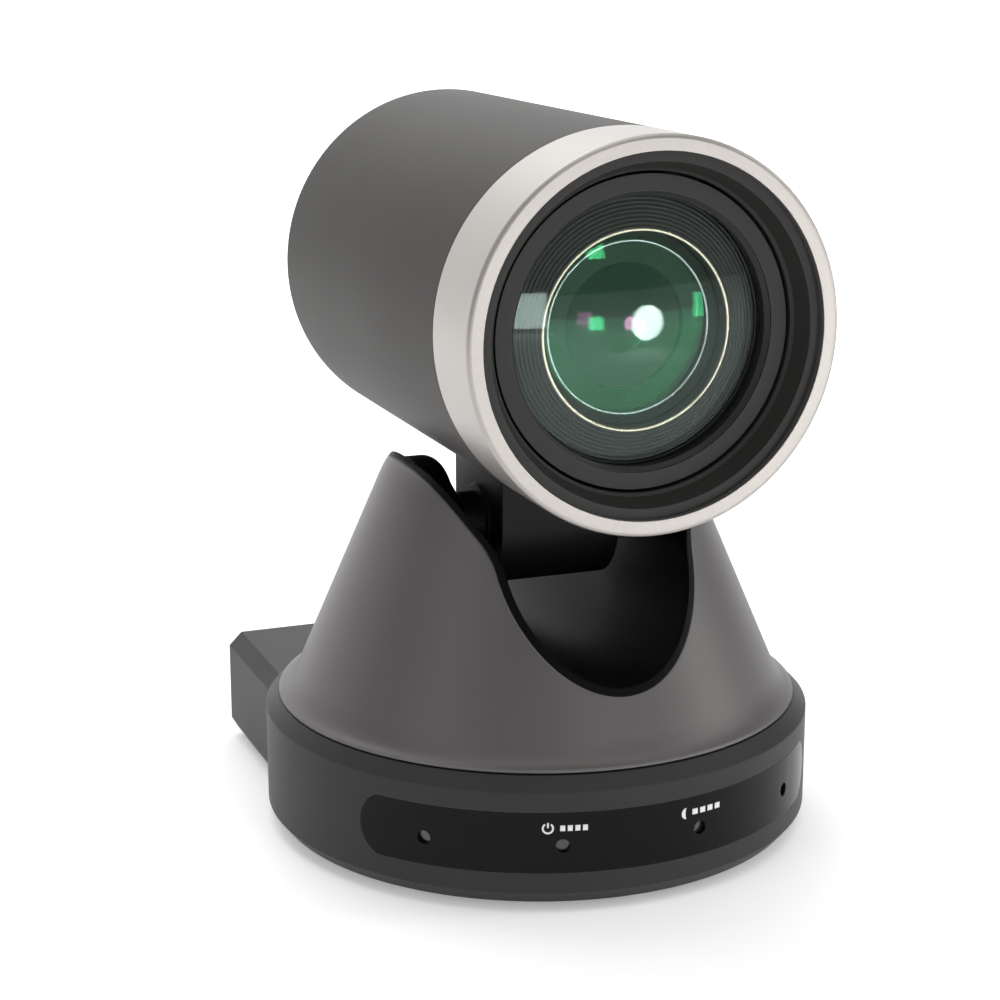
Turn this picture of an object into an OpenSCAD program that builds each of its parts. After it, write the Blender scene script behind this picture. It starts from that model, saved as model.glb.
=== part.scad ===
// A pan-tilt-zoom conference camera on a round base.
// Z is up, the lens looks along -Y, and the origin is the mouth of the tripod thread
// at the middle of the underside. All sizes are in millimetres.

/* [Base] */
// Diameter of the round base
base_d = 118; // [117:0.5:119]
// Height of the turning seam above the underside
base_h = 26.5; // [26.5:0.1:26.7]
// Wall of the cast base shell
base_wall = 3; // [2.8:0.1:3.2]
// Height and width of the bevel round the shoulder
shoulder = 2.7; // [2.5:0.1:2.9]
// Thickness of the bottom plate
plate_t = 2; // [1.8:0.1:2.2]
// Height of the rubber feet below the underside
foot_h = 1.5; // [1:0.1:2]

/* [Rear connector box] */
// Width of the box behind the base
box_w = 104; // [103:0.5:105]
// Distance from the pan axis to the rear face
box_y = 66; // [65.5:0.5:67]
// Height of the box
box_h = 23.8; // [23.6:0.1:24]
// Chamfer along the upper side edges of the box
box_bevel = 3; // [2:0.5:3]

/* [Indicator window] */
// Lower edge of the glossy window
window_z0 = 7; // [6.5:0.1:7.5]
// Upper edge of the glossy window
window_z1 = 19.75; // [19:0.1:20]
// Angle from the middle of the window to each end
window_half = 56.4; // [54:0.2:58]
// Turn of the window's middle from the front, in degrees
window_turn = -2.5; // [-4:0.5:4]
// Angle from the middle of the window to each light
light_angle = 14.35; // [13:0.1:16]
// Angle from the middle of the window to each remote-control receiver
receiver_angle = 41.7; // [40:0.1:43]
// Radius of the four small holes in the window
window_hole_r = 1.45; // [1.2:0.05:1.6]

/* [Yoke] */
// Radius of the cone where it meets the base seam, before the flare
cone_r = 54; // [53.8:0.1:54.2]
// Loss of cone radius for each millimetre of height
cone_slope = 0.4284; // [0.426:0.001:0.43]
// Wall of the cone
cone_wall = 2.5; // [2.3:0.1:2.6]
// Height of the tilt axis
pivot_z = 65; // [64.8:0.1:65.2]
// Half width of the channel between the two arms
channel_half = 21.8; // [21.6:0.1:22]
// Depth of the channel below the tilt axis
channel_depth = 26; // [25.6:0.1:26.2]
// Wall of the black channel liner
liner_wall = 1.6; // [1.4:0.1:1.8]

/* [Head] */
// Diameter of the round head
head_d = 76.2; // [76:0.1:76.4]
// Height of the lens axis
head_z = 113; // [112.8:0.1:113.4]
// Distance from the tilt axis to the front of the head
head_front = 60; // [59.5:0.5:60.5]
// Distance from the tilt axis to the rear of the head
head_rear = 60.3; // [60:0.1:61]
// Length of the silver front ring
ring_len = 18.7; // [18:0.1:19.2]
// Wall of the head tube
head_wall = 2.2; // [2:0.1:2.4]

/* [Drives] */
// Module of all gear teeth
tooth_m = 0.8; // [0.8]
// Teeth on the fixed pan gear
pan_teeth = 60; // [60]
// Teeth on the pan pinion
pan_pinion_teeth = 15; // [15]
// Teeth on the full circle of the tilt gear
tilt_teeth = 40; // [40]
// Teeth on the tilt pinion
tilt_pinion_teeth = 12; // [12]
// Thickness taken off each tooth for running clearance
backlash = 0.14; // [0.1:0.01:0.2]

/* [Hidden] */

$fn = 96;
// Overshoot that makes a cut run clear through a face
eps = 1;
// Radial clearance of a shaft turning in its bush
run_fit = 0.05;

base_r = base_d / 2;
cavity_r = base_r - base_wall;
roof_z = base_h - base_wall;
wall_top = base_h - shoulder;
foot_bevel = 2.2;
box_half = box_w / 2;
box_inner = box_half - base_wall;
rear_wall_y = box_y - base_wall;

// Pan bearing, all on the Z axis
pan_bore_r = 18;
pan_hub_r = 16;
pan_hub_hole = 7;
gear_t = 3.5;
bush_flange_t = 1;
gear_top = base_h + gear_t;
turn_z = gear_top + bush_flange_t + 0.4;
turn_t = 2.6;
turn_top = turn_z + turn_t;
retainer_z0 = 20.5;
retainer_z1 = 22.2;
pan_centre = tooth_m * (pan_teeth + pan_pinion_teeth) / 2;
pan_motor_r = 11.5;
pan_motor_h = 13;
motor_shaft_r = 1.5;

// Tilt bearing, all on the X axis at the pivot height
bracket_x = 24;
bracket_t = 2;
tilt_shaft_r = 4;
tilt_gear_x = 27;
tilt_gear_t = 3;
tilt_centre = tooth_m * (tilt_teeth + tilt_pinion_teeth) / 2;
tilt_motor_z = pivot_z - tilt_centre;
tilt_motor_r = 9.4;
tilt_motor_x0 = 31.5;
tilt_motor_x1 = 39.2;
hub_face_x = 18.7;
hub_r = 14.5;
boss_r = 6;
neck_half = 13.3;
neck_deep = 14;

head_r = head_d / 2;
tube_inner = head_r - head_wall;
tube_front = -head_front + ring_len;

// ---- Shared shapes and formulas ----

// Points on a circular arc from angle a0 to a1
function arc(cx, cy, r, a0, a1, n) =
    [for (i = [0 : n]) [cx + r * cos(a0 + (a1 - a0) * i / n), cy + r * sin(a0 + (a1 - a0) * i / n)]];

// Points on a smooth curve from a to c, pulled towards b
function blend(a, b, c, n) =
    [for (i = [0 : n]) let (t = i / n) (1 - t) * (1 - t) * a + 2 * t * (1 - t) * b + t * t * c];

// Outer radius of the straight cone at height z
function cone_at(z) = cone_r - cone_slope * (z - base_h);

// Involute polar angle at radius r for base radius rb
function involute(r, rb) =
    let (t = sqrt(max(0, pow(r / rb, 2) - 1))) t * 180 / PI - atan(t);

// Half the angle that a tooth fills at radius r
function tooth_half(r, teeth) =
    let (rp = tooth_m * teeth / 2, rb = rp * cos(20))
    90 / teeth - backlash / 2 / rp * 180 / PI + involute(rp, rb) - involute(max(r, rb), rb);

// Outline points of one tooth centred on angle a, from root to tip and back
function tooth(a, teeth) =
    let (
        rp = tooth_m * teeth / 2,
        tip = rp + 0.75 * tooth_m,
        root = rp - tooth_m,
        radii = [for (i = [0 : 4]) root + (tip - root) * i / 4]
    )
    concat(
        [for (r = radii) let (h = a - tooth_half(r, teeth)) [r * cos(h), r * sin(h)]],
        [for (i = [4 : -1 : 0]) let (r = radii[i], h = a + tooth_half(r, teeth)) [r * cos(h), r * sin(h)]]
    );

// Outline of a whole gear whose first tooth is centred on angle a
function gear_outline(teeth, a) =
    [for (k = [0 : teeth - 1]) for (p = tooth(a + 360 * k / teeth, teeth)) p];

// Turns a profile drawn as [radius, y] about the lens axis
module lens_turn(points) {
    translate([0, 0, head_z])
        rotate([-90, 0, 0])
            rotate_extrude($fn = 128)
                polygon(points);
}

// A cylinder along the lens axis from y0 to y1
module lens_disc(r, y0, y1) {
    translate([0, y0, head_z])
        rotate([-90, 0, 0])
            cylinder(r = r, h = y1 - y0);
}

// A ring along the lens axis
module lens_ring(r_out, r_in, y0, y1) {
    difference() {
        lens_disc(r_out, y0, y1);
        lens_disc(r_in, y0 - eps, y1 + eps);
    }
}

// A cylinder along X at height z, from x0 to x1
module x_rod(r, x0, x1, y, z) {
    translate([x0, y, z])
        rotate([0, 90, 0])
            cylinder(r = r, h = x1 - x0);
}

// A cylinder along Y at height z, from y0 to y1
module y_rod(r, y0, y1, x, z) {
    translate([x, y0, z])
        rotate([-90, 0, 0])
            cylinder(r = r, h = y1 - y0);
}

// A cross-recessed screw standing head up, with its head's underside at the origin
module screw(shaft_r, shaft_len, head_r, head_h) {
    difference() {
        union() {
            translate([0, 0, -shaft_len])
                cylinder(r = shaft_r, h = shaft_len, $fn = 32);
            cylinder(r = head_r, h = head_h, $fn = 32);
        }
        for (a = [0, 90])
            rotate(a)
                translate([-head_r * 0.55, -0.3, head_h * 0.4])
                    cube([head_r * 1.1, 0.6, head_h]);
    }
}

// Mirrors its children to both sides of the YZ plane
module both_sides() {
    children();
    mirror([1, 0, 0])
        children();
}

// ---- Places of repeated fasteners ----

base_screw_at = [for (a = [30, 150, 220, 270, 320]) 51.5 * [cos(a), sin(a)]];
box_screw_at = [[-45.5, 44], [45.5, 44]];
board_post_at = [[-36, -24], [36, -24], [-30, 34], [30, 34]];
foot_at = [[-29, -38], [29, -38], [-40, 56], [40, 56]];
insert_at = [for (a = [45 : 90 : 315]) 28 * [cos(a), sin(a)]];
gear_screw_at = [for (a = [30 : 60 : 330]) 20.9 * [cos(a), sin(a)]];
yoke_post_at = [for (a = [45 : 90 : 315]) 42 * [cos(a), sin(a)]];

// ---- Base ----

// Solid outside of the base: the round body and the box behind it
module base_outside() {
    rotate_extrude($fn = 180)
        polygon([
            [0, 0], [base_r - foot_bevel, 0], [base_r, shoulder],
            [base_r, wall_top], [base_r - shoulder, base_h], [0, base_h]
        ]);
    translate([0, box_y, 0])
        rotate([90, 0, 0])
            linear_extrude(height = box_y - 10)
                polygon([
                    [-box_half + 1.5, 0], [box_half - 1.5, 0], [box_half, shoulder],
                    [box_half, box_h - box_bevel], [box_half - box_bevel, box_h],
                    [box_bevel - box_half, box_h], [-box_half, box_h - box_bevel], [-box_half, shoulder]
                ]);
}

// The window as a curved slab between two radii, with round ends
module window_slab(r0, r1) {
    height = window_z1 - window_z0;
    mid_z = (window_z1 + window_z0) / 2;
    // The ends are a little flatter than half circles
    end_r = 0.54 * height;
    end_turn = window_half - asin(end_r / base_r);
    rotate(window_turn - 90)
        difference() {
            rotate(-window_half)
                rotate_extrude(angle = 2 * window_half, $fn = 180)
                    translate([r0, window_z0])
                        square([r1 - r0, height]);
            for (side = [-1, 1])
                rotate(side * end_turn)
                    difference() {
                        translate([r0 - 4, side > 0 ? 0 : -20, window_z0 - eps])
                            cube([r1 - r0 + 8, 20, height + 2 * eps]);
                        x_rod(end_r, r0 - 5, r1 + 5, 0, mid_z);
                    }
        }
}

// Short radial rods on the four small holes, or on the named pair of them
module window_rods(r, r0, r1, angles) {
    for (a = angles)
        rotate(window_turn - 90 + a)
            x_rod(r, r0, r1, 0, 12.7);
}

light_angles = [-light_angle, light_angle];
receiver_angles = [-receiver_angle, receiver_angle];
window_r0 = base_r - 1.4;
// Flexible circuit strip that carries the lights and receivers
strip_r = cavity_r - 1.1;
strip_t = 0.5;

module base_shell() {
    color([0.2, 0.2, 0.2])
        difference() {
            base_outside();
            translate([0, 0, -eps])
                cylinder(r = cavity_r, h = roof_z + eps, $fn = 180);
            translate([-box_inner, 10, -eps])
                cube([2 * box_inner, rear_wall_y - 10, box_h - base_wall + eps]);
            translate([-46, rear_wall_y - eps, 3.5])
                cube([92, base_wall + 2 * eps, 17]);
            translate([0, 0, roof_z - eps])
                cylinder(r = pan_bore_r, h = base_wall + 2 * eps);
            for (p = gear_screw_at)
                translate([p[0], p[1], roof_z - eps])
                    cylinder(r = 1, h = base_wall + 2 * eps, $fn = 24);
            window_slab(window_r0, base_r + eps);
            window_rods(window_hole_r, cavity_r - eps, base_r, concat(light_angles, receiver_angles));
        }
    // Posts that take the bottom screws
    color([0.2, 0.2, 0.2])
        for (p = concat(base_screw_at, box_screw_at))
            translate([p[0], p[1], plate_t])
                difference() {
                    cylinder(r = 3.2, h = (p[1] > 40 ? box_h - base_wall : roof_z) - plate_t);
                    translate([0, 0, -eps])
                        cylinder(r = 1.2, h = 9 + eps, $fn = 24);
                }
}

// Outline of the bottom plate, which drops inside the shell
module plate_outline() {
    circle(r = cavity_r - 0.1, $fn = 180);
    translate([0.1 - box_inner, 20])
        square([2 * box_inner - 0.2, rear_wall_y - 20.1]);
}

module bottom_plate() {
    color([0.16, 0.16, 0.17])
        difference() {
            union() {
                linear_extrude(height = plate_t)
                    plate_outline();
                cylinder(r = 9, h = 8);
                for (p = insert_at)
                    translate([p[0], p[1], 0])
                        cylinder(r = 4.2, h = 6);
                for (p = board_post_at)
                    translate([p[0], p[1], 0])
                        cylinder(r = 3, h = 8);
            }
            translate([0, 0, -eps])
                cylinder(r = 6, h = 8 + 2 * eps);
            for (p = insert_at)
                translate([p[0], p[1], -eps])
                    cylinder(r = 2.4, h = 6 + 2 * eps);
            for (p = board_post_at)
                translate([p[0], p[1], 3])
                    cylinder(r = 1.2, h = 6, $fn = 24);
            for (p = concat(base_screw_at, box_screw_at))
                translate([p[0], p[1], -eps])
                    cylinder(r = 1.5, h = plate_t + 2 * eps, $fn = 32);
            // Cooling slots
            for (x = [-15 : 5 : 15])
                translate([x - 1, 36, -eps])
                    cube([2, 16, plate_t + 2 * eps]);
        }
}

module rubber_feet() {
    color([0.06, 0.06, 0.06])
        for (p = foot_at)
            translate([p[0], p[1], -foot_h]) {
                cylinder(r1 = 5.6, r2 = 6, h = 0.5);
                translate([0, 0, 0.5])
                    cylinder(r = 6, h = foot_h - 0.5);
            }
}

module tripod_bush() {
    color([0.75, 0.62, 0.3])
        difference() {
            union() {
                cylinder(r = 6, h = 8);
                translate([0, 0, 8])
                    cylinder(r = 8, h = 1.5);
            }
            translate([0, 0, -eps])
                cylinder(r = 2.55, h = 8 + eps);
        }
}

module mount_inserts() {
    color([0.75, 0.62, 0.3])
        for (p = insert_at)
            translate([p[0], p[1], 0])
                difference() {
                    cylinder(r = 2.4, h = 6);
                    translate([0, 0, -eps])
                        cylinder(r = 1.25, h = 5 + eps, $fn = 32);
                }
}

module base_screws() {
    color([0.55, 0.55, 0.57])
        for (p = concat(base_screw_at, box_screw_at))
            translate([p[0], p[1], 0])
                mirror([0, 0, 1])
                    screw(1.2, 9, 2.5, 1.2);
}

module ir_window() {
    color([0.03, 0.03, 0.03])
        difference() {
            window_slab(window_r0, base_r);
            window_rods(window_hole_r, window_r0 - eps, base_r + eps, concat(light_angles, receiver_angles));
        }
}

module indicator_lights() {
    color([0.2, 0.3, 0.25])
        window_rods(window_hole_r - 0.1, strip_r + strip_t, base_r - 1, light_angles);
}

module ir_receivers() {
    color([0.12, 0.05, 0.08])
        window_rods(window_hole_r - 0.1, strip_r + strip_t, base_r - 1, receiver_angles);
}

module indicator_strip() {
    reach = receiver_angle + 5;
    color([0.75, 0.5, 0.15])
        rotate(window_turn - 90 - reach)
            rotate_extrude(angle = 2 * reach, $fn = 180)
                translate([strip_r, 9.5])
                    square([strip_t, 6.4]);
}

module main_board() {
    board_z = 8;
    board_t = 1.6;
    color([0.05, 0.25, 0.12])
        difference() {
            translate([0, 0, board_z])
                linear_extrude(height = board_t)
                    intersection() {
                        circle(r = 47.5, $fn = 96);
                        translate([-44, -33])
                            square([88, 90]);
                    }
            translate([0, 0, board_z - eps])
                cylinder(r = 11, h = board_t + 2 * eps);
            for (p = board_post_at)
                translate([p[0], p[1], board_z - eps])
                    cylinder(r = 1.25, h = board_t + 2 * eps, $fn = 24);
        }
    // Large chips and their heat spreader
    color([0.1, 0.1, 0.1]) {
        translate([-28, 12, board_z + board_t])
            cube([16, 16, 1.4]);
        translate([10, 14, board_z + board_t])
            cube([12, 12, 1.2]);
        translate([-8, -28, board_z + board_t])
            cube([16, 10, 5]);
    }
}

// Small screws of the board and of the fixed pan gear
module small_screws() {
    color([0.6, 0.6, 0.62]) {
        for (p = board_post_at)
            translate([p[0], p[1], 9.6])
                screw(1.2, 5, 2.4, 1.3);
        for (p = gear_screw_at)
            translate([p[0], p[1], gear_top - 2])
                screw(1, 4.4, 1.7, 1);
    }
}

// ---- Rear panel and its connectors ----

panel_y = rear_wall_y - 1.6;
panel_t = 1.5;
dc_x = -40.2;
switch_x = -27.7;
lan_x = -12.2;
hdmi_x = 5.8;
sdi_x = 22.3;
serial_x = 38.3;
row_z = 12;
hdmi_z = 8;
audio_z = 15.9;

// A block on the rear panel, centred on x and z, from y0 to y1
module rear_block(x, z, w, h, y0, y1) {
    translate([x - w / 2, y0, z - h / 2])
        cube([w, y1 - y0, h]);
}

module rear_panel() {
    color([0.1, 0.1, 0.1])
        difference() {
            rear_block(0, 11.5, 95, 18.4, panel_y, panel_y + panel_t);
            y_rod(4.6, panel_y - eps, box_y, dc_x, row_z);
            rear_block(switch_x, row_z, 9, 13, panel_y - eps, box_y);
            rear_block(lan_x, row_z, 16, 13.6, panel_y - eps, box_y);
            rear_block(hdmi_x, hdmi_z, 15, 6, panel_y - eps, box_y);
            y_rod(3, panel_y - eps, box_y, hdmi_x, audio_z);
            y_rod(6, panel_y - eps, box_y, sdi_x, row_z);
            y_rod(6.8, panel_y - eps, box_y, serial_x, row_z);
        }
}

module dc_socket() {
    color([0.05, 0.05, 0.05])
        difference() {
            union() {
                y_rod(4.6, panel_y - 8, box_y - 1, dc_x, row_z);
                rear_block(dc_x, row_z - 0.2, 9, 4.4, panel_y - 13, panel_y - 8);
            }
            y_rod(2.85, panel_y - 6, box_y, dc_x, row_z);
        }
    color([0.75, 0.75, 0.76])
        y_rod(1, panel_y - 6, box_y - 2, dc_x, row_z);
}

module lan_socket() {
    color([0.7, 0.7, 0.72])
        difference() {
            rear_block(lan_x, row_z, 16, 13.6, panel_y - 13, box_y - 1.5);
            rear_block(lan_x, row_z, 11.8, 8, panel_y - 10, box_y);
            rear_block(lan_x, row_z - 4.8, 6, 2, panel_y - 6, box_y);
        }
}

module hdmi_socket() {
    color([0.72, 0.72, 0.74])
        difference() {
            rear_block(hdmi_x, hdmi_z, 15, 6, panel_y - 9, box_y - 1.8);
            rear_block(hdmi_x, hdmi_z, 14, 5, panel_y - 7, box_y);
        }
    color([0.05, 0.05, 0.05])
        rear_block(hdmi_x, hdmi_z + 0.3, 11.5, 1.4, panel_y - 7, box_y - 3);
}

module audio_socket() {
    color([0.05, 0.05, 0.05])
        difference() {
            union() {
                y_rod(3, panel_y - 2, box_y - 1.5, hdmi_x, audio_z);
                rear_block(hdmi_x, audio_z, 7, 7, panel_y - 14, panel_y - 2);
            }
            y_rod(1.8, panel_y - 11, box_y, hdmi_x, audio_z);
        }
}

// Coaxial video socket with two bayonet lugs
module sdi_socket() {
    color([0.78, 0.78, 0.8]) {
        difference() {
            union() {
                y_rod(6, panel_y - 8, box_y - 1.6, sdi_x, row_z);
                y_rod(4.85, box_y - 1.6, box_y + 7.4, sdi_x, row_z);
                x_rod(1, sdi_x - 5.6, sdi_x + 5.6, box_y + 4.5, row_z);
            }
            y_rod(4, box_y - 1, box_y + 9, sdi_x, row_z);
        }
        y_rod(1, box_y - 1, box_y + 4, sdi_x, row_z);
    }
}

module serial_socket() {
    color([0.06, 0.06, 0.06])
        difference() {
            y_rod(6.8, panel_y - 8, box_y - 1.5, serial_x, row_z);
            y_rod(4.6, panel_y - 4, box_y, serial_x, row_z);
        }
    color([0.06, 0.06, 0.06])
        rear_block(serial_x, row_z - 1, 2.4, 1.4, panel_y - 4, box_y - 2.2);
}

module switch_frame() {
    color([0.05, 0.05, 0.05])
        difference() {
            rear_block(switch_x, row_z, 9, 13, panel_y - 10, box_y - 2);
            rear_block(switch_x, row_z, 6.4, 11, panel_y - 6, box_y);
            x_rod(rocker_pin_r + run_fit, switch_x - 4, switch_x + 4, rocker_y, row_z);
        }
}

rocker_y = panel_y - 0.8;
rocker_pin_r = 0.8;
rocker_rest = 8;

// Rocker pressed down at one end, with its pin across the frame
module power_switch() {
    color([0.09, 0.09, 0.09])
        translate([0, rocker_y, row_z])
            rotate([rocker_rest, 0, 0])
                translate([0, -rocker_y, -row_z]) {
                    difference() {
                        intersection() {
                            rear_block(switch_x, row_z, 5.8, 9.6, rocker_y - 3.2, box_y);
                            x_rod(5.2, switch_x - 4, switch_x + 4, rocker_y, row_z);
                        }
                        x_rod(30, switch_x - 5, switch_x + 5, box_y + 29, row_z);
                    }
                    x_rod(rocker_pin_r, switch_x - 3.8, switch_x + 3.8, rocker_y, row_z);
                }
}

// ---- Pan bearing and drive ----

module pan_gear() {
    color([0.85, 0.85, 0.8])
        difference() {
            translate([0, 0, base_h])
                linear_extrude(height = gear_t)
                    polygon(gear_outline(pan_teeth, 0));
            translate([0, 0, base_h - eps])
                cylinder(r = pan_bore_r, h = gear_t + 2 * eps);
            for (p = gear_screw_at)
                translate([p[0], p[1], base_h - eps]) {
                    cylinder(r = 1, h = gear_t + 2 * eps, $fn = 24);
                    translate([0, 0, gear_t - 2 + eps])
                        cylinder(r = 1.8, h = 3, $fn = 24);
                }
        }
}

module pan_bush() {
    color([0.9, 0.88, 0.8])
        difference() {
            union() {
                translate([0, 0, retainer_z1 + 0.3])
                    cylinder(r = pan_bore_r, h = gear_top - retainer_z1 - 0.3);
                translate([0, 0, gear_top])
                    cylinder(r = pan_bore_r + 1, h = bush_flange_t);
            }
            translate([0, 0, retainer_z1])
                cylinder(r = pan_hub_r + run_fit, h = 12);
        }
}

module turntable() {
    color([0.6, 0.6, 0.62])
        difference() {
            union() {
                translate([0, 0, turn_z])
                    cylinder(r = 48.1, h = turn_t, $fn = 180);
                translate([0, 0, retainer_z0])
                    cylinder(r = pan_hub_r, h = turn_z - retainer_z0);
                for (x = [-11, 11], y = [16, 34])
                    translate([x, y, turn_top])
                        cylinder(r = 2, h = 1.2, $fn = 32);
            }
            translate([0, 0, retainer_z0 - eps])
                cylinder(r = pan_hub_hole, h = 20);
            translate([-pan_centre, 0, turn_z - eps])
                cylinder(r = 3, h = turn_t + 2 * eps);
            for (p = yoke_post_at)
                translate([p[0], p[1], turn_z - eps])
                    cylinder(r = 1.5, h = turn_t + 2 * eps, $fn = 32);
            translate([0, 0, retainer_z0 - eps])
                difference() {
                    cylinder(r = pan_hub_r + eps, h = retainer_z1 - retainer_z0 + eps);
                    cylinder(r = pan_hub_r - 1, h = retainer_z1 - retainer_z0 + eps);
                }
        }
}

module pan_retainer() {
    color([0.5, 0.5, 0.52])
        translate([0, 0, retainer_z0])
            difference() {
                cylinder(r = 20, h = retainer_z1 - retainer_z0);
                translate([0, 0, -eps])
                    cylinder(r = pan_hub_r - 1, h = 5);
                for (a = [0 : 90 : 270])
                    rotate(a)
                        translate([18.6, -1.5, -eps])
                            cube([3, 3, 5]);
            }
}

module pan_motor() {
    color([0.3, 0.3, 0.31])
        difference() {
            union() {
                translate([-pan_centre, 0, turn_top])
                    cylinder(r = pan_motor_r, h = pan_motor_h);
                translate([-pan_centre - pan_motor_r - 3, -3, turn_top])
                    cube([2 * pan_motor_r + 6, 6, 1]);
            }
            translate([-pan_centre, 0, turn_top - eps])
                cylinder(r = motor_shaft_r + run_fit, h = 6 + eps);
        }
}

module pan_pinion() {
    color([0.78, 0.66, 0.35])
        translate([-pan_centre, 0, base_h + 0.4])
            linear_extrude(height = gear_t - 0.4)
                polygon(gear_outline(pan_pinion_teeth, 180));
    color([0.7, 0.7, 0.72])
        translate([-pan_centre, 0, gear_top - 0.5])
            cylinder(r = motor_shaft_r, h = turn_top + 5.7 - gear_top);
}

// ---- Yoke ----

cover_z = base_h + 0.4;
flare_r = 56.2;
flare_top = 31.5;
crest_z = 79.9;
crest_from = 74;
crest_r = 26;

// Outside of the cone: a small flare at the seam, a straight side above it, and a rounded crest
function cone_side() =
    concat(
        blend([flare_r, cover_z], [cone_at(27.6) + 0.1, 27.6], [cone_at(flare_top), flare_top], 7),
        blend([cone_at(crest_from), crest_from], [cone_at(crest_z), crest_z], [crest_r, crest_z], 12)
    );

module cone_solid() {
    rotate_extrude($fn = 180)
        polygon(concat([[0, cover_z]], cone_side(), [[0, crest_z]]));
}

// Half outline of the channel between the arms: an ellipse below, then a
// blend into a straight flare that meets the cone at the top of each arm
flare_from = 5.5;
flare_to = 31.2;
ellipse_end = 3;
function channel_side(shrink) =
    let (
        a = channel_half - shrink,
        b = channel_depth - shrink,
        steps = 22,
        t_end = acos(ellipse_end / b),
        w0 = a * sin(t_end),
        z0 = pivot_z - ellipse_end,
        r = 14,
        w1 = w0 + r * (cos(flare_from) - cos(flare_to)),
        z1 = z0 + r * (sin(flare_to) - sin(flare_from)),
        z2 = 92
    )
    concat(
        [for (i = [0 : steps]) let (t = t_end * i / steps) [a * sin(t), pivot_z - b * cos(t)]],
        [for (i = [1 : 5]) let (f = flare_from + (flare_to - flare_from) * i / 5)
            [w0 + r * (cos(flare_from) - cos(f)), z0 + r * (sin(f) - sin(flare_from))]],
        [[w1 + (z2 - z1) * tan(flare_to), z2]]
    );

// The channel as a solid through the whole yoke, taken in by shrink all round
module channel_solid(shrink) {
    side = channel_side(shrink);
    n = len(side);
    translate([0, 70, 0])
        rotate([90, 0, 0])
            linear_extrude(height = 140)
                polygon(concat(side, [for (i = [n - 1 : -1 : 1]) [-side[i][0], side[i][1]]]));
}

// Outside of one pivot hub: a domed cup round the tilt axis, on the +X side
hub_profile = concat(
    [[0, hub_face_x], [boss_r + 0.2, hub_face_x]],
    [[12.2, 22.2]],
    arc(hub_r - 3.5, 25.2, 3.5, -50, 0, 5),
    [[hub_r, 29], [0, 29]]
);

module hub_solid() {
    both_sides()
        translate([0, 0, pivot_z])
            rotate([0, 90, 0])
                rotate_extrude()
                    polygon([for (p = hub_profile) [p[0], p[1]]]);
}

module yoke_cover() {
    color([0.45, 0.44, 0.45])
        difference() {
            union() {
                difference() {
                    cone_solid();
                    translate([0, 0, cover_z - eps])
                        cylinder(
                            r1 = cone_at(cover_z - eps) - cone_wall,
                            r2 = cone_at(crest_z + eps) - cone_wall,
                            h = crest_z - cover_z + 2 * eps,
                            $fn = 180
                        );
                }
                // Screw posts moulded into the foot of the cone
                intersection() {
                    cone_solid();
                    for (p = yoke_post_at)
                        translate([p[0], p[1], turn_top])
                            difference() {
                                cylinder(r = 3.2, h = 12);
                                translate([0, 0, -eps])
                                    cylinder(r = 1.2, h = 8 + eps, $fn = 24);
                            }
                }
            }
            channel_solid(0);
            hub_solid();
        }
}

module yoke_liner() {
    color([0.02, 0.02, 0.02])
        difference() {
            intersection() {
                cone_solid();
                channel_solid(0);
            }
            channel_solid(liner_wall);
            hub_solid();
        }
}

module pivot_hubs() {
    color([0.02, 0.02, 0.02])
        difference() {
            intersection() {
                hub_solid();
                cone_solid();
            }
            both_sides() {
                // Hollow of the cup
                translate([0, 0, pivot_z])
                    rotate([0, 90, 0])
                        rotate_extrude()
                            polygon([[0, 21], [8, 21], [10.6, 23.6], [hub_r - 2, 26], [hub_r - 2, 30], [0, 30]]);
                // Room below the rim for the tilt gear
                translate([23, -20, pivot_z - 20])
                    cube([10, 40, 18]);
                x_rod(5, 15, 30, 0, pivot_z);
            }
        }
}

// Upright plate on the +X side that carries a tilt bush
module bracket() {
    difference() {
        union() {
            x_rod(9, bracket_x, bracket_x + bracket_t, 0, pivot_z);
            translate([bracket_x, 0, 0])
                rotate([90, 0, 90])
                    linear_extrude(height = bracket_t)
                        polygon([
                            [-19, turn_top], [19, turn_top], [19, 50], [9, 59],
                            [9, pivot_z], [-9, pivot_z], [-9, 59], [-19, 50]
                        ]);
            for (y = [-19, 12.6])
                translate([bracket_x, y, turn_top])
                    cube([9, 6.4, 1.8]);
        }
        x_rod(6, bracket_x - eps, bracket_x + bracket_t + eps, 0, pivot_z);
        for (y = [-1, 1])
            translate([bracket_x + 5.5, y * 15.8, turn_top - eps])
                cylinder(r = 1.3, h = 4, $fn = 24);
    }
}

module left_bracket() {
    color([0.62, 0.63, 0.65])
        mirror([1, 0, 0])
            difference() {
                bracket();
                // Opening round the pan motor
                translate([bracket_x - eps, -12.5, turn_top - eps])
                    cube([bracket_t + 2 * eps, 25, pan_motor_h + 2]);
            }
}

module right_bracket() {
    color([0.62, 0.63, 0.65])
        difference() {
            bracket();
            x_rod(2, bracket_x - eps, bracket_x + bracket_t + eps, 0, tilt_motor_z);
        }
}

module tilt_bushes() {
    color([0.75, 0.6, 0.3])
        both_sides()
            difference() {
                union() {
                    x_rod(6, bracket_x, bracket_x + bracket_t, 0, pivot_z);
                    x_rod(7.5, bracket_x + bracket_t, bracket_x + bracket_t + 0.7, 0, pivot_z);
                }
                x_rod(tilt_shaft_r + run_fit, bracket_x - eps, bracket_x + 5, 0, pivot_z);
            }
}

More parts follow.
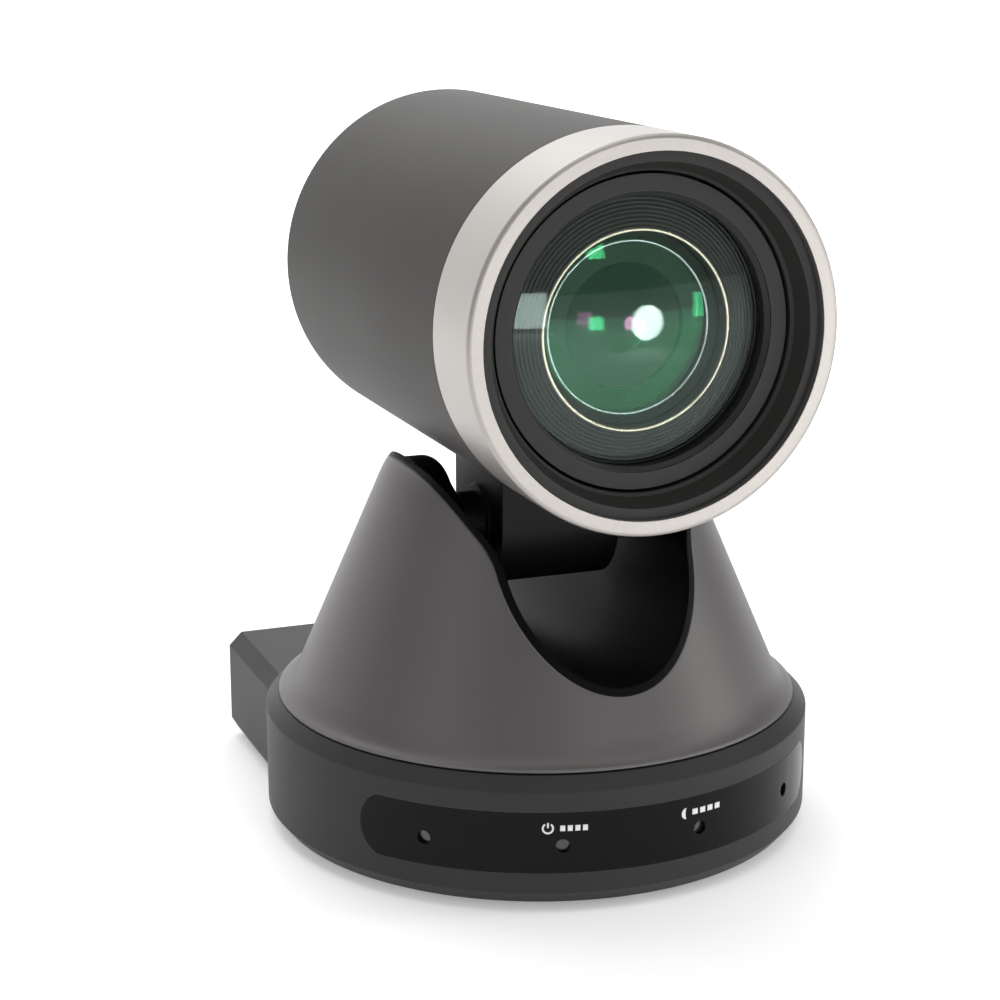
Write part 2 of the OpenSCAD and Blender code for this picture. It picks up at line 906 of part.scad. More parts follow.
module tilt_motor() {
    color([0.3, 0.3, 0.31])
        difference() {
            union() {
                x_rod(tilt_motor_r, tilt_motor_x0, tilt_motor_x1, 0, tilt_motor_z);
                translate([tilt_motor_x0 - 0.9, -14, tilt_motor_z - 4])
                    cube([0.9, 28, 8]);
                // Spacers to the bracket
                for (y = [-12, 12])
                    x_rod(1.8, bracket_x + bracket_t, tilt_motor_x0 - 0.9, y, tilt_motor_z);
            }
            x_rod(motor_shaft_r + run_fit, tilt_motor_x0 - 2, tilt_motor_x0 + 4, 0, tilt_motor_z);
        }
}

// Turns a gear outline so that it lies across the X axis with its first angle up
module x_gear(points, x0, t, z) {
    translate([x0, 0, z])
        rotate([90, 0, 90])
            linear_extrude(height = t)
                polygon(points);
}

module tilt_pinion() {
    color([0.78, 0.66, 0.35])
        x_gear(gear_outline(tilt_pinion_teeth, 90 + 180 / tilt_pinion_teeth), tilt_gear_x, tilt_gear_t, tilt_motor_z);
    color([0.7, 0.7, 0.72])
        x_rod(motor_shaft_r, tilt_gear_x + tilt_gear_t, tilt_motor_x0 + 3.8, 0, tilt_motor_z);
}

module yoke_screws() {
    color([0.55, 0.55, 0.57]) {
        for (p = yoke_post_at)
            translate([p[0], p[1], turn_z])
                mirror([0, 0, 1])
                    screw(1.2, turn_t + 7, 2.4, 1.2);
        both_sides()
            for (y = [-1, 1])
                translate([bracket_x + 5.5, y * 15.8, turn_top + 1.8])
                    screw(1.2, 1.7, 2.3, 1.2);
    }
}

module yoke_board() {
    color([0.05, 0.25, 0.12])
        translate([-14, 12, turn_top + 1.2])
            cube([28, 26, 1.2]);
    color([0.1, 0.1, 0.1])
        translate([-4, 20, turn_top + 2.4])
            cube([8, 8, 1]);
}

// ---- Head ----

// Thin collar round the foot of each boss
collar_r = 7.4;
collar_t = 0.6;

module neck() {
    color([0.13, 0.13, 0.13])
        difference() {
            union() {
                translate([-neck_half, -neck_deep, pivot_z])
                    cube([2 * neck_half, 2 * neck_deep, head_z - tube_inner - pivot_z]);
                x_rod(neck_deep, -neck_half, neck_half, 0, pivot_z);
                x_rod(boss_r, -hub_face_x + 0.5, hub_face_x - 0.5, 0, pivot_z);
                x_rod(collar_r, -neck_half - collar_t, neck_half + collar_t, 0, pivot_z);
            }
            lens_disc(head_r, -30, 30);
            x_rod(tilt_shaft_r, -30, 30, 0, pivot_z);
            // Cable way beside the shaft
            translate([0, 9, pivot_z - 20])
                cylinder(r = 3.5, h = 40, $fn = 48);
            for (p = neck_screw_at)
                translate([p[0], p[1], head_z - head_r - 6])
                    cylinder(r = 1.2, h = 12, $fn = 24);
        }
}

neck_screw_at = [[-8, -8], [8, -8], [-8, 8], [8, 8]];
saddle_z = head_z - tube_inner + 5;

module tilt_shaft() {
    color([0.75, 0.75, 0.77])
        x_rod(tilt_shaft_r, -28.6, 31.6, 0, pivot_z);
}

// Part of a gear wheel, with teeth only over the swing that the tilt uses
module tilt_gear() {
    reach = 4;
    rim = [for (k = [-reach : reach]) for (p = tooth(270 + 360 * k / tilt_teeth, tilt_teeth)) p];
    color([0.85, 0.85, 0.8])
        difference() {
            union() {
                x_gear(concat([[0, 0]], rim), tilt_gear_x, tilt_gear_t, pivot_z);
                x_rod(7, tilt_gear_x, tilt_gear_x + tilt_gear_t, 0, pivot_z);
            }
            x_rod(tilt_shaft_r, tilt_gear_x - eps, tilt_gear_x + 9, 0, pivot_z);
        }
}

module shaft_clips() {
    color([0.5, 0.5, 0.52])
        for (x = [-27.8, 30.1])
            difference() {
                x_rod(6, x, x + 0.8, 0, pivot_z);
                x_rod(tilt_shaft_r, x - eps, x + 2, 0, pivot_z);
            }
}

module head_tube() {
    round_r = 4;
    color([0.35, 0.34, 0.34])
        difference() {
            lens_turn(concat(
                [[tube_inner, tube_front], [head_r, tube_front]],
                arc(head_r - round_r, head_rear - round_r, round_r, 0, 90, 8),
                [[30, head_rear], [30, head_rear - 2.5], [tube_inner - 2, head_rear - 2.5], [tube_inner, head_rear - 5]]
            ));
            translate([0, 9, head_z - head_r - eps])
                cylinder(r = 3.5, h = 6, $fn = 48);
            for (p = neck_screw_at)
                translate([p[0], p[1], head_z - head_r - eps])
                    cylinder(r = 1.2, h = 8, $fn = 24);
        }
}

// Depth of the flat dark ring behind the front face, and of the foot of its bevel
bezel_y = -head_front + 1.6;
bezel_foot = -head_front + 6;
bezel_r = 35;
bezel_in_r = 30.8;

module front_ring() {
    color([0.75, 0.73, 0.71])
        lens_turn(concat(
            arc(head_r - 0.8, -head_front + 0.8, 0.8, -90, 0, 4),
            [[head_r, tube_front - 0.25], [tube_inner, tube_front - 0.25], [tube_inner, tube_front + 3]],
            [[tube_inner - 1.4, tube_front + 3], [tube_inner - 1.4, bezel_foot + 3], [bezel_r, bezel_foot + 1]],
            [[bezel_r, -head_front]]
        ));
}

module front_bezel() {
    color([0.12, 0.12, 0.12])
        lens_turn([
            [bezel_r, bezel_y], [bezel_r, bezel_foot + 1], [bezel_r - 0.6, bezel_foot + 3],
            [bezel_in_r, bezel_foot + 3], [bezel_in_r, bezel_foot], [bezel_in_r + 0.6, bezel_foot - 0.6],
            [32.9, bezel_y]
        ]);
}

module rear_cap() {
    color([0.3, 0.29, 0.29])
        difference() {
            union() {
                lens_disc(29.9, head_rear - 2.5, head_rear - 0.6);
                lens_disc(32.5, head_rear - 4.3, head_rear - 2.5);
            }
            for (a = [90, 210, 330])
                y_rod(1.2, head_rear - 6, head_rear + 1, 27 * cos(a), head_z + 27 * sin(a));
        }
}

module cap_screws() {
    color([0.5, 0.5, 0.52])
        for (a = [90, 210, 330])
            translate([27 * cos(a), head_rear - 0.6, head_z + 27 * sin(a)])
                rotate([-90, 0, 0])
                    screw(1.2, 15, 2.3, 0.6);
}

module neck_screws() {
    color([0.55, 0.55, 0.57])
        for (p = neck_screw_at)
            translate([p[0], p[1], saddle_z])
                screw(1.2, saddle_z - head_z + head_r + 5.5, 2.2, 1.3);
}

barrel_front = -head_front + 6.5;
barrel_step = -30;
barrel_rear = 20;
barrel_r = 30.2;
glass_r = 27;
barrel_small_r = 24;
guide_r = 21;
// Shoulder behind the front glass, clear of its domed rear face
seat_y = -42.7;

// Saddle over the neck with a round bulkhead at each end of the lens barrel
module camera_frame() {
    color([0.6, 0.61, 0.63])
        difference() {
            union() {
                intersection() {
                    lens_disc(tube_inner - 0.02, -20, 24);
                    translate([-16, -20, head_z - tube_inner - 1])
                        cube([32, 44, saddle_z - head_z + tube_inner + 1]);
                }
                lens_disc(tube_inner - 0.3, -23, -20);
                lens_disc(tube_inner - 0.3, 21, 24);
                for (a = [90, 210, 330])
                    y_rod(3, 24, head_rear - 4.3, 27 * cos(a), head_z + 27 * sin(a));
            }
            lens_disc(barrel_small_r, -24, barrel_rear + 1);
            lens_disc(14, 18, 26);
            for (a = [90, 210, 330])
                y_rod(1.2, head_rear - 18, head_rear, 27 * cos(a), head_z + 27 * sin(a));
            translate([0, 9, head_z - tube_inner - 2])
                cylinder(r = 3.5, h = 8, $fn = 48);
            for (p = neck_screw_at)
                translate([p[0], p[1], head_z - tube_inner - 2])
                    cylinder(r = 1.2, h = 9, $fn = 24);
        }
}

module lens_barrel() {
    color([0.07, 0.07, 0.07])
        lens_turn([
            [glass_r, barrel_front], [barrel_r, barrel_front], [barrel_r, barrel_step], [barrel_small_r, barrel_step],
            [barrel_small_r, barrel_rear], [18, barrel_rear], [18, barrel_rear - 2], [guide_r, barrel_rear - 2],
            [guide_r, -27], [22.5, -27], [22.5, seat_y], [glass_r, seat_y]
        ]);
}

module lens_retainer() {
    color([0.1, 0.1, 0.1])
        lens_turn([
            [glass_r, barrel_front + 0.4], [glass_r, -50.6], [26.1, -50.6], [26.1, barrel_front + 1.2]
        ]);
}

// A round lens with spherical faces, from its front edge y0 to its rear edge y1
module lens_solid(r, y0, y1, front_bulge, rear_bulge) {
    // Radius of the sphere that gives a bulge s over a half width r
    front_r = (r * r + front_bulge * front_bulge) / 2 / front_bulge;
    rear_r = (r * r + rear_bulge * rear_bulge) / 2 / rear_bulge;
    front_a = asin(r / front_r);
    rear_a = asin(r / rear_r);
    steps = 10;
    lens_turn(concat(
        [for (i = [0 : steps]) let (t = front_a * i / steps)
            [front_r * sin(t), y0 - front_bulge + front_r * (1 - cos(t))]],
        [for (i = [steps : -1 : 0]) let (t = rear_a * i / steps)
            [rear_r * sin(t), y1 + rear_bulge - rear_r * (1 - cos(t))]]
    ));
}

module front_lens() {
    color([0.3, 0.55, 0.45, 0.5])
        lens_solid(glass_r, -50.4, -43, 2.6, 0.8);
}

module second_lens() {
    color([0.3, 0.55, 0.45, 0.5])
        lens_solid(22.5, -40, -35, 1.6, 1.2);
}

module iris_unit() {
    color([0.05, 0.05, 0.05])
        lens_ring(guide_r, 9, -3, -1);
}

zoom_y = -25;
focus_y = 5;

module zoom_carrier() {
    color([0.12, 0.12, 0.12])
        lens_ring(guide_r - run_fit, 15, zoom_y, zoom_y + 6);
}

module zoom_lens() {
    color([0.3, 0.5, 0.55, 0.5])
        lens_solid(15, zoom_y + 1.6, zoom_y + 4.4, 1.2, 1.2);
}

module focus_carrier() {
    color([0.12, 0.12, 0.12])
        lens_ring(guide_r - run_fit, 12, focus_y, focus_y + 5);
}

module focus_lens() {
    color([0.3, 0.5, 0.55, 0.5])
        lens_solid(12, focus_y + 1.4, focus_y + 3.6, 1, 1);
}

// Two small motors beside the barrel, one for zoom and one for focus
module lens_motors() {
    color([0.35, 0.35, 0.36])
        difference() {
            for (side = [-1, 1]) {
                a = 90 + side * 35;
                y0 = side < 0 ? -15 : 2;
                y_rod(5.4, y0, y0 + 13, 30 * cos(a), head_z + 30 * sin(a));
                translate([0, 0, head_z])
                    rotate([0, -a, 0])
                        translate([22, y0 + 4, -3])
                            cube([6, 5, 6]);
            }
            lens_disc(barrel_small_r, -20, 22);
        }
}

module sensor_board() {
    color([0.05, 0.25, 0.12])
        rear_block(0, head_z, 38, 34, 24, 25.6);
    color([0.1, 0.1, 0.12])
        rear_block(0, head_z, 13, 10, 21.6, 24);
}

module encoder_board() {
    color([0.05, 0.25, 0.12])
        rear_block(0, head_z, 40, 40, 36, 37.6);
    color([0.1, 0.1, 0.1])
        rear_block(-4, head_z + 3, 15, 15, 37.6, 39);
    // Spacers to the sensor board
    color([0.75, 0.62, 0.3])
        for (x = [-16, 16], z = [-14, 14])
            y_rod(1.8, 25.6, 36, x, head_z + z);
}

base_shell();
bottom_plate();
rubber_feet();
tripod_bush();
mount_inserts();
base_screws();
ir_window();
indicator_lights();
ir_receivers();
indicator_strip();
main_board();
small_screws();
rear_panel();
dc_socket();
lan_socket();
hdmi_socket();
audio_socket();
sdi_socket();
serial_socket();
switch_frame();
power_switch();
pan_gear();
pan_bush();
turntable();
pan_retainer();
yoke_cover();
yoke_liner();
pivot_hubs();
left_bracket();
right_bracket();
tilt_bushes();
pan_motor();
tilt_motor();
yoke_screws();
yoke_board();
pan_pinion();
tilt_pinion();
neck();
tilt_shaft();
tilt_gear();
shaft_clips();
head_tube();
front_ring();
front_bezel();
rear_cap();
cap_screws();
neck_screws();
camera_frame();
lens_barrel();
lens_retainer();
front_lens();
second_lens();
iris_unit();
zoom_carrier();
zoom_lens();
focus_carrier();
focus_lens();
lens_motors();
sensor_board();
encoder_board();
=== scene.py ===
import bpy
import numpy as np
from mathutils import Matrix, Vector


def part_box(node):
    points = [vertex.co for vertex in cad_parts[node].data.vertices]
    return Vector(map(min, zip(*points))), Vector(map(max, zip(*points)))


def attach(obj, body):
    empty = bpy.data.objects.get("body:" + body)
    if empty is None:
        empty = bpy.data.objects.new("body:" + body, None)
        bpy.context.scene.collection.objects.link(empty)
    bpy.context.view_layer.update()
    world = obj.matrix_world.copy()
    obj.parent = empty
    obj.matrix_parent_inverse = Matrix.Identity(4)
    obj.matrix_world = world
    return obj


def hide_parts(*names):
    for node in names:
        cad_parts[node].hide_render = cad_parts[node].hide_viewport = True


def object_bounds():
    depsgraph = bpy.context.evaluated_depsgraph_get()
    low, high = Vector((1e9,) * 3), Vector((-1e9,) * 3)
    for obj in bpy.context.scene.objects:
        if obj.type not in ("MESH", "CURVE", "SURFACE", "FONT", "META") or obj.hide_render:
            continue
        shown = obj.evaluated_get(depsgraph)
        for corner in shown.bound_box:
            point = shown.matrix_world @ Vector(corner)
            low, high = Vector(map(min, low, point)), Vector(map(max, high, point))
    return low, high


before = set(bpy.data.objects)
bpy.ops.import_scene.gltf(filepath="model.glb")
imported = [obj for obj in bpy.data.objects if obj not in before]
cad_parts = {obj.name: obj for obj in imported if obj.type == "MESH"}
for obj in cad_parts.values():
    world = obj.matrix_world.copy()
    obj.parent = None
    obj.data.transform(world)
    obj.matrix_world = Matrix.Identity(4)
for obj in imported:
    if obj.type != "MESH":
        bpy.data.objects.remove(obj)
cad_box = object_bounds()

# ---- Studio ----
# A photographer's table: one pale matt sheet that runs back and curves up into a wall, a white
# room, and soft boxes. The sheet's glow is painted light, stronger towards the back and the right.
# The camera stands before the lens, to its left and above.

mm = 0.001

camera = bpy.data.objects.new("studio_camera", bpy.data.cameras.new("studio_camera"))
camera.data.lens = 81.22
camera.data.sensor_width = 36
camera.location = (-0.17798, -0.43534, 0.18966)
camera.rotation_mode = "QUATERNION"
camera.rotation_quaternion = Vector((0.35137, 0.90192, -0.25116)).to_track_quat("-Z", "Y")
bpy.context.scene.collection.objects.link(camera)
bpy.context.scene.camera = camera
bpy.context.scene.view_settings.view_transform = "Standard"

room = bpy.data.worlds.new("white_room")
room.use_nodes = True
room.node_tree.nodes["Background"].inputs["Color"].default_value = (1, 1, 1, 1)
room.node_tree.nodes["Background"].inputs["Strength"].default_value = 0.36
bpy.context.scene.world = room


def soft_box(name, place, aim, width, height, power):
    """A rectangular lamp standing at place and facing aim, in metres and watts."""
    lamp = bpy.data.lights.new(name, "AREA")
    lamp.shape = "RECTANGLE"
    lamp.size = width
    lamp.size_y = height
    lamp.energy = power
    stand = bpy.data.objects.new(name, lamp)
    stand.location = place
    stand.rotation_mode = "QUATERNION"
    stand.rotation_quaternion = (Vector(aim) - Vector(place)).to_track_quat("-Z", "Y")
    bpy.context.scene.collection.objects.link(stand)
    return lamp


subject = (0, 0, 0.075)
soft_box("overhead_box", (0.1, -0.1, 1.6), subject, 1.6, 1.6, 9)
soft_box("left_box", (-1.3, -0.5, 0.8), subject, 0.3, 1.2, 1.5)
soft_box("right_box", (1.3, -0.45, 0.6), subject, 0.3, 1.2, 4)
soft_box("rear_box", (-0.2, 0.85, 1.2), subject, 1.0, 0.5, 4)
lens_front = (0, -0.05, 0.113)
soft_box("high_front_box", (0.07, -0.83, 0.555), lens_front, 0.13, 0.13, 0.35)
soft_box("low_front_box", (0.019, -0.747, 0.05), lens_front, 0.09, 0.08, 0.16)
soft_box("near_right_box", (0.706, -0.423, 0.09), lens_front, 0.13, 0.13, 0.35)
soft_box("round_lamp", (0.216, -0.495, 0.04), lens_front, 0.057, 0.057, 0.2).shape = "DISK"


def shade(r, g, b):
    """A colour given as three sRGB bytes, as the linear light that shaders take."""
    c = np.array([r, g, b]) / 255
    linear = np.where(c <= 0.04045, c / 12.92, ((c + 0.055) / 1.055) ** 2.4)
    return (*linear.tolist(), 1.0)


class Value:
    """A number socket inside a finish. Sums on it add the Math nodes that work them out."""

    def __init__(self, finish, socket):
        self.finish, self.socket = finish, socket

    def sum(self, operation, *terms):
        sockets = dict(enumerate(terms))
        return self.finish.node("ShaderNodeMath", {"operation": operation}, sockets)

    def __add__(self, other):
        return self.sum("ADD", self, other)

    def __sub__(self, other):
        return self.sum("SUBTRACT", self, other)

    def __mul__(self, other):
        return self.sum("MULTIPLY", self, other)

    def __truediv__(self, other):
        return self.sum("DIVIDE", self, other)

    def __pow__(self, other):
        return self.sum("POWER", self, other)

    def __radd__(self, other):
        return self.sum("ADD", other, self)

    def __rsub__(self, other):
        return self.sum("SUBTRACT", other, self)

    def __rmul__(self, other):
        return self.sum("MULTIPLY", other, self)

    def wave(self):
        return self.sum("SINE", self)

    def size(self):
        return self.sum("ABSOLUTE", self)

    def ramp(self, start, end):
        """0 below start and 1 above end, with a smooth step between them."""
        sockets = {"Value": self, "From Min": start, "From Max": end}
        return self.finish.node("ShaderNodeMapRange", {"interpolation_type": "SMOOTHSTEP"}, sockets)


class Finish:
    """One material: constants stand on its Principled shader's own sockets, nodes feed the rest."""

    def __init__(self, name, **constants):
        self.material = bpy.data.materials.new(name)
        self.material.use_nodes = True
        self.tree = self.material.node_tree
        self.shader = self.tree.nodes["Principled BSDF"]
        self.output = self.tree.nodes["Material Output"]
        for socket, value in constants.items():
            self.shader.inputs[socket.replace("_", " ")].default_value = value

    def node(self, kind, settings={}, sockets={}, out=0):
        """Adds a node with its settings and what its sockets take, and gives one of its outputs."""
        made = self.tree.nodes.new(kind)
        for name, value in settings.items():
            setattr(made, name, value)
        for name, value in sockets.items():
            self.plug(made.inputs[name], value)
        return Value(self, made.outputs[out])

    def plug(self, socket, value):
        if isinstance(value, Value):
            self.tree.links.new(value.socket, socket)
        else:
            socket.default_value = value

    def feed(self, socket, value):
        self.plug(self.shader.inputs[socket], value)

    def place(self):
        """The piece's own coordinates, in metres."""
        return self.node("ShaderNodeTexCoord", out="Object")

    def axes(self):
        """The same place as three separate numbers."""
        split = self.node("ShaderNodeSeparateXYZ", sockets={0: self.place()})
        return [Value(self, s) for s in split.socket.node.outputs]

    def noise(self, scale, detail=3, stretch=(1, 1, 1)):
        """Soft random variation with about scale cells to the metre, stretched along the axes."""
        where = self.node("ShaderNodeMapping", sockets={"Vector": self.place(), "Scale": stretch})
        return self.node("ShaderNodeTexNoise", sockets={"Vector": where, "Scale": scale, "Detail": detail})

    def mix(self, share, first, second):
        """Two colours mixed: first where share is 0, second where it is 1."""
        return self.node("ShaderNodeMix", {"data_type": "RGBA"}, {0: share, 6: first, 7: second}, out=2)

    def rounded(self, radius):
        """Surface normals with the sharp edges turned over by that radius, and how far each was turned."""
        normal = self.node("ShaderNodeBevel", {"samples": 4}, {"Radius": radius})
        flat = self.node("ShaderNodeNewGeometry", out="Normal")
        both = {0: normal, 1: flat}
        dot = self.node("ShaderNodeVectorMath", {"operation": "DOT_PRODUCT"}, both, out="Value")
        return normal, (1 - dot).ramp(0.002, 0.2)

    def relief(self, height, depth, normal=None, strength=1.0):
        """Feeds the surface's normal from a height field of that depth, on top of another normal."""
        sockets = {"Height": height, "Distance": depth, "Strength": strength}
        if normal is not None:
            sockets["Normal"] = normal
        self.feed("Normal", self.node("ShaderNodeBump", sockets=sockets))


def skin(name, points, wrap_rows=False, wrap_columns=False, sharp=30):
    """A mesh over a grid of points [row, column, xyz]. Neighbours join as quads, the last row or
    column joins the first where it wraps, and points that coincide are one, so poles close."""
    rows, columns = points.shape[:2]
    flat, index = np.unique(np.round(points.reshape(-1, 3), 8), axis=0, return_inverse=True)
    index = index.reshape(rows, columns)
    if wrap_rows:
        index = np.concatenate([index, index[:1]])
    if wrap_columns:
        index = np.concatenate([index, index[:, :1]], axis=1)
    quads = np.stack([index[:-1, :-1], index[1:, :-1], index[1:, 1:], index[:-1, 1:]], -1).reshape(-1, 4)
    same = quads == np.roll(quads, -1, axis=1)
    whole = quads[same.sum(axis=1) == 0]
    thin = quads[same.sum(axis=1) == 1]
    turn = (np.argmax(same[same.sum(axis=1) == 1], axis=1)[:, None] + np.arange(1, 4)) % 4
    triangles = np.take_along_axis(thin, turn, axis=1)
    mesh = bpy.data.meshes.new(name)
    mesh.from_pydata(flat.tolist(), [], whole.tolist() + triangles.tolist())
    mesh.polygons.foreach_set("use_smooth", np.ones(len(mesh.polygons), bool))
    mesh.set_sharp_from_angle(angle=np.radians(sharp))
    made = bpy.data.objects.new(name, mesh)
    bpy.context.scene.collection.objects.link(made)
    return made


def face_outwards(made):
    """Turns a closed mesh's faces outwards: its signed volume, summed over a fan, must be positive."""
    mesh = made.data
    mesh.calc_loop_triangles()
    corners = np.empty(len(mesh.loop_triangles) * 3, int)
    mesh.loop_triangles.foreach_get("vertices", corners)
    spots = np.empty(len(mesh.vertices) * 3)
    mesh.vertices.foreach_get("co", spots)
    a, b, c = spots.reshape(-1, 3)[corners.reshape(-1, 3)].transpose(1, 0, 2)
    if np.einsum("ij,ij->i", a, np.cross(b, c)).sum() < 0:
        mesh.flip_normals()


floor_z = cad_box[0].z
reach, bend, wall_top = 0.8, 0.5, 2.0
swing = np.linspace(0, np.pi / 2, 24)
back = np.concatenate([np.linspace(-2.2, reach, 24), reach + bend * np.sin(swing[1:]), [reach + bend]])
rise = np.concatenate([np.zeros(24), bend - bend * np.cos(swing[1:]), [wall_top]])
across, along = np.meshgrid(np.linspace(-2.2, 2.2, 12), np.arange(len(back)), indexing="ij")
floor = skin("studio_floor", np.stack([across, back[along], floor_z + rise[along]], -1))
floor_paint = Finish("floor_paint", Roughness=0.75, Emission_Strength=1.0)
paper = floor_paint.mix(floor_paint.noise(3), shade(247, 247, 247), shade(250, 250, 250))
floor_paint.feed("Base Color", paper)
side, depth, height = floor_paint.axes()
# Painted glow: the sheet's emission rises towards the back and the right, in place of light falling on the
# wall.
painted_glow = depth.ramp(0.1, 0.7) * side.ramp(-0.6, -0.1)
floor_paint.feed("Emission Color", floor_paint.mix(painted_glow, (0.3, 0.3, 0.3, 1), (0.65, 0.65, 0.65, 1)))
floor.data.materials.append(floor_paint.material)


def dress(finish, *names):
    """Puts one finish on the whole of each named CAD node."""
    for name in names:
        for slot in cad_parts[name].material_slots:
            slot.material = finish.material


# ---- Base shell ----
# A die-cast zinc-grey shell with a bevelled shoulder and a square connector box at its back. It
# is sprayed with a fine satin paint, and its edges are painted lighter, as rubbed paint and as a painted
# highlight.

shell_paint = Finish("shell_paint", Specular_IOR_Level=0.25)
rub_normal, rub_and_highlight = shell_paint.rounded(0.5 * mm)
grain = shell_paint.noise(5200, 2)
mottle = shell_paint.noise(40, 4)
shell_tone = shell_paint.mix(mottle, shade(52, 50, 51), shade(57, 55, 56))
# Painted highlight: the edges are mixed towards a lighter grey, as rubbed paint and as the glint along them.
shell_paint.feed("Base Color", shell_paint.mix(rub_and_highlight * 0.4, shell_tone, shade(92, 88, 89)))
shell_paint.feed("Roughness", 0.42 + 0.1 * mottle + 0.06 * grain)
shell_paint.feed("Metallic", 0.3 + 0.1 * grain)
shell_paint.relief(grain, 0.02 * mm, rub_normal)
dress(shell_paint, "base_shell")

# ---- Indicator window ----
# A strip of smoked acrylic let into the front of the shell, open at two lights and at two
# receivers for the remote control. Its marks are printed in white on the face.

window_gloss = Finish("window_gloss", IOR=1.49, Specular_IOR_Level=0.12)
pane_normal, pane_edge_highlight = window_gloss.rounded(0.35 * mm)
smudge = window_gloss.noise(60, 5, (1, 1, 3))
# Painted highlight: the pane's edges are mixed towards a lighter grey.
window_gloss.feed("Base Color", window_gloss.mix(pane_edge_highlight, shade(16, 16, 17), shade(36, 36, 38)))
window_gloss.feed("Roughness", 0.12 + 0.1 * smudge)
window_gloss.relief(smudge, 0.01 * mm, pane_normal)
dress(window_gloss, "ir_window")

light_pipe = Finish("light_pipe", IOR=1.49, Coat_Weight=1.0, Coat_Roughness=0.03)
glow = light_pipe.noise(900, 2)
light_pipe.feed("Base Color", light_pipe.mix(glow, shade(26, 32, 30), shade(44, 52, 48)))
light_pipe.feed("Roughness", 0.2 + 0.1 * glow)
dress(light_pipe, "indicator_lights")

receiver = Finish("receiver", IOR=1.55, Coat_Weight=1.0, Coat_Roughness=0.05)
tint = receiver.noise(900, 2)
receiver.feed("Base Color", receiver.mix(tint, shade(24, 10, 16), shade(38, 16, 24)))
receiver.feed("Roughness", 0.15 + 0.1 * tint)
dress(receiver, "ir_receivers")

flex_strip = Finish("flex_strip")
trace = (flex_strip.axes()[2] * 4200).wave().ramp(0.2, 0.5)
film = flex_strip.noise(300, 3)
flex_strip.feed("Base Color", flex_strip.mix(trace, shade(150, 96, 32), shade(190, 128, 52)))
flex_strip.feed("Roughness", 0.3 + 0.2 * film)
flex_strip.feed("Metallic", trace * 0.4)
dress(flex_strip, "indicator_strip")

window_radius = 59 * mm
mark_height = 2.4 * mm
mark_z = 16.5 * mm
print_paint = Finish("print_paint", Specular_IOR_Level=0.3)
ink = print_paint.noise(2500, 2)
print_paint.feed("Base Color", print_paint.mix(ink, shade(228, 228, 226), shade(246, 246, 244)))
print_paint.feed("Roughness", 0.5 + 0.2 * ink)
print_paint.relief(ink, 0.01 * mm)


def on_window(name, middle, across, up):
    """A printed mark: across and up are grids of lengths on the window's face, bent round the base
    about the angle middle from the front, and given the thickness of the ink."""
    angle = middle + across / window_radius
    reach = window_radius + 0.02 * mm
    mark = skin(name, np.stack([reach * np.sin(angle), -reach * np.cos(angle), mark_z + up], -1))
    coat = mark.modifiers.new("ink", "SOLIDIFY")
    coat.thickness = 0.03 * mm
    mark.data.materials.append(print_paint.material)
    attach(mark, "base")


def arc_band(centre, r_in, r_out, start, end, steps=40):
    """The grid of a flat ring's sector: radii r_in to r_out, angles start to end, about centre."""
    r, a = np.meshgrid(np.linspace(r_in, r_out, 3), np.radians(np.linspace(start, end, steps)), indexing="ij")
    return centre + r * np.cos(a), r * np.sin(a)


def bar(left, right, low, high):
    """The grid of a flat bar between those edges."""
    return np.meshgrid(np.linspace(left, right, 6), np.linspace(low, high, 4), indexing="ij")


def crescent(centre, radius, steps=40):
    """A moon: at height v its edges are the circle's left half and a flatter arc of the same ends."""
    share, v = np.meshgrid(np.linspace(0, 1, 4), np.linspace(-0.98, 0.98, steps), indexing="ij")
    half = np.sqrt(1 - v**2)
    return centre + radius * half * (share * -1.0 + (1 - share) * -0.25), radius * v


light_spots = np.radians([-16.85, 11.85])
half = mark_height / 2
dash = 1.0 * mm
on_window("power_mark_ring", light_spots[0], *arc_band(-3.0 * mm, half * 0.68, half, 125, 415))
on_window("power_mark_bar", light_spots[0], *bar(-3.18 * mm, -2.82 * mm, 0.1 * mm, half))
on_window("standby_mark_moon", light_spots[1], *crescent(-3.4 * mm, half))
for i in range(4):
    left = (-0.6 + i * 1.5) * mm
    on_window(f"power_mark_dash_{i}", light_spots[0], *bar(left, left + dash, -half * 0.5, half * 0.5))
    left = (-2.0 + i * 1.9) * mm
    on_window(f"standby_mark_dash_{i}", light_spots[1], *bar(left, left + 1.3 * mm, -half * 0.5, half * 0.5))

# ---- Underside ----
# A pressed steel plate closes the base from below. It holds a brass tripod bush, four brass
# inserts and soft rubber feet, and takes the seven countersunk screws.

plate_black = Finish("plate_black", Specular_IOR_Level=0.4)
pressed, plate_edge_highlight = plate_black.rounded(0.3 * mm)
powder = plate_black.noise(2600, 3)
# Painted highlight: the plate's edges are mixed towards a lighter grey.
plate_black.feed("Base Color", plate_black.mix(plate_edge_highlight, shade(36, 36, 38), shade(70, 70, 72)))
plate_black.feed("Roughness", 0.55 + 0.15 * powder)
plate_black.relief(powder, 0.05 * mm, pressed)
dress(plate_black, "bottom_plate", "rear_panel")

foot_rubber = Finish("foot_rubber", Specular_IOR_Level=0.3)
crumb = foot_rubber.noise(1800, 4)
foot_rubber.feed("Base Color", foot_rubber.mix(crumb, shade(20, 20, 20), shade(38, 37, 36)))
foot_rubber.feed("Roughness", 0.75 + 0.15 * crumb)
foot_rubber.relief(crumb, 0.08 * mm)
dress(foot_rubber, "rubber_feet")


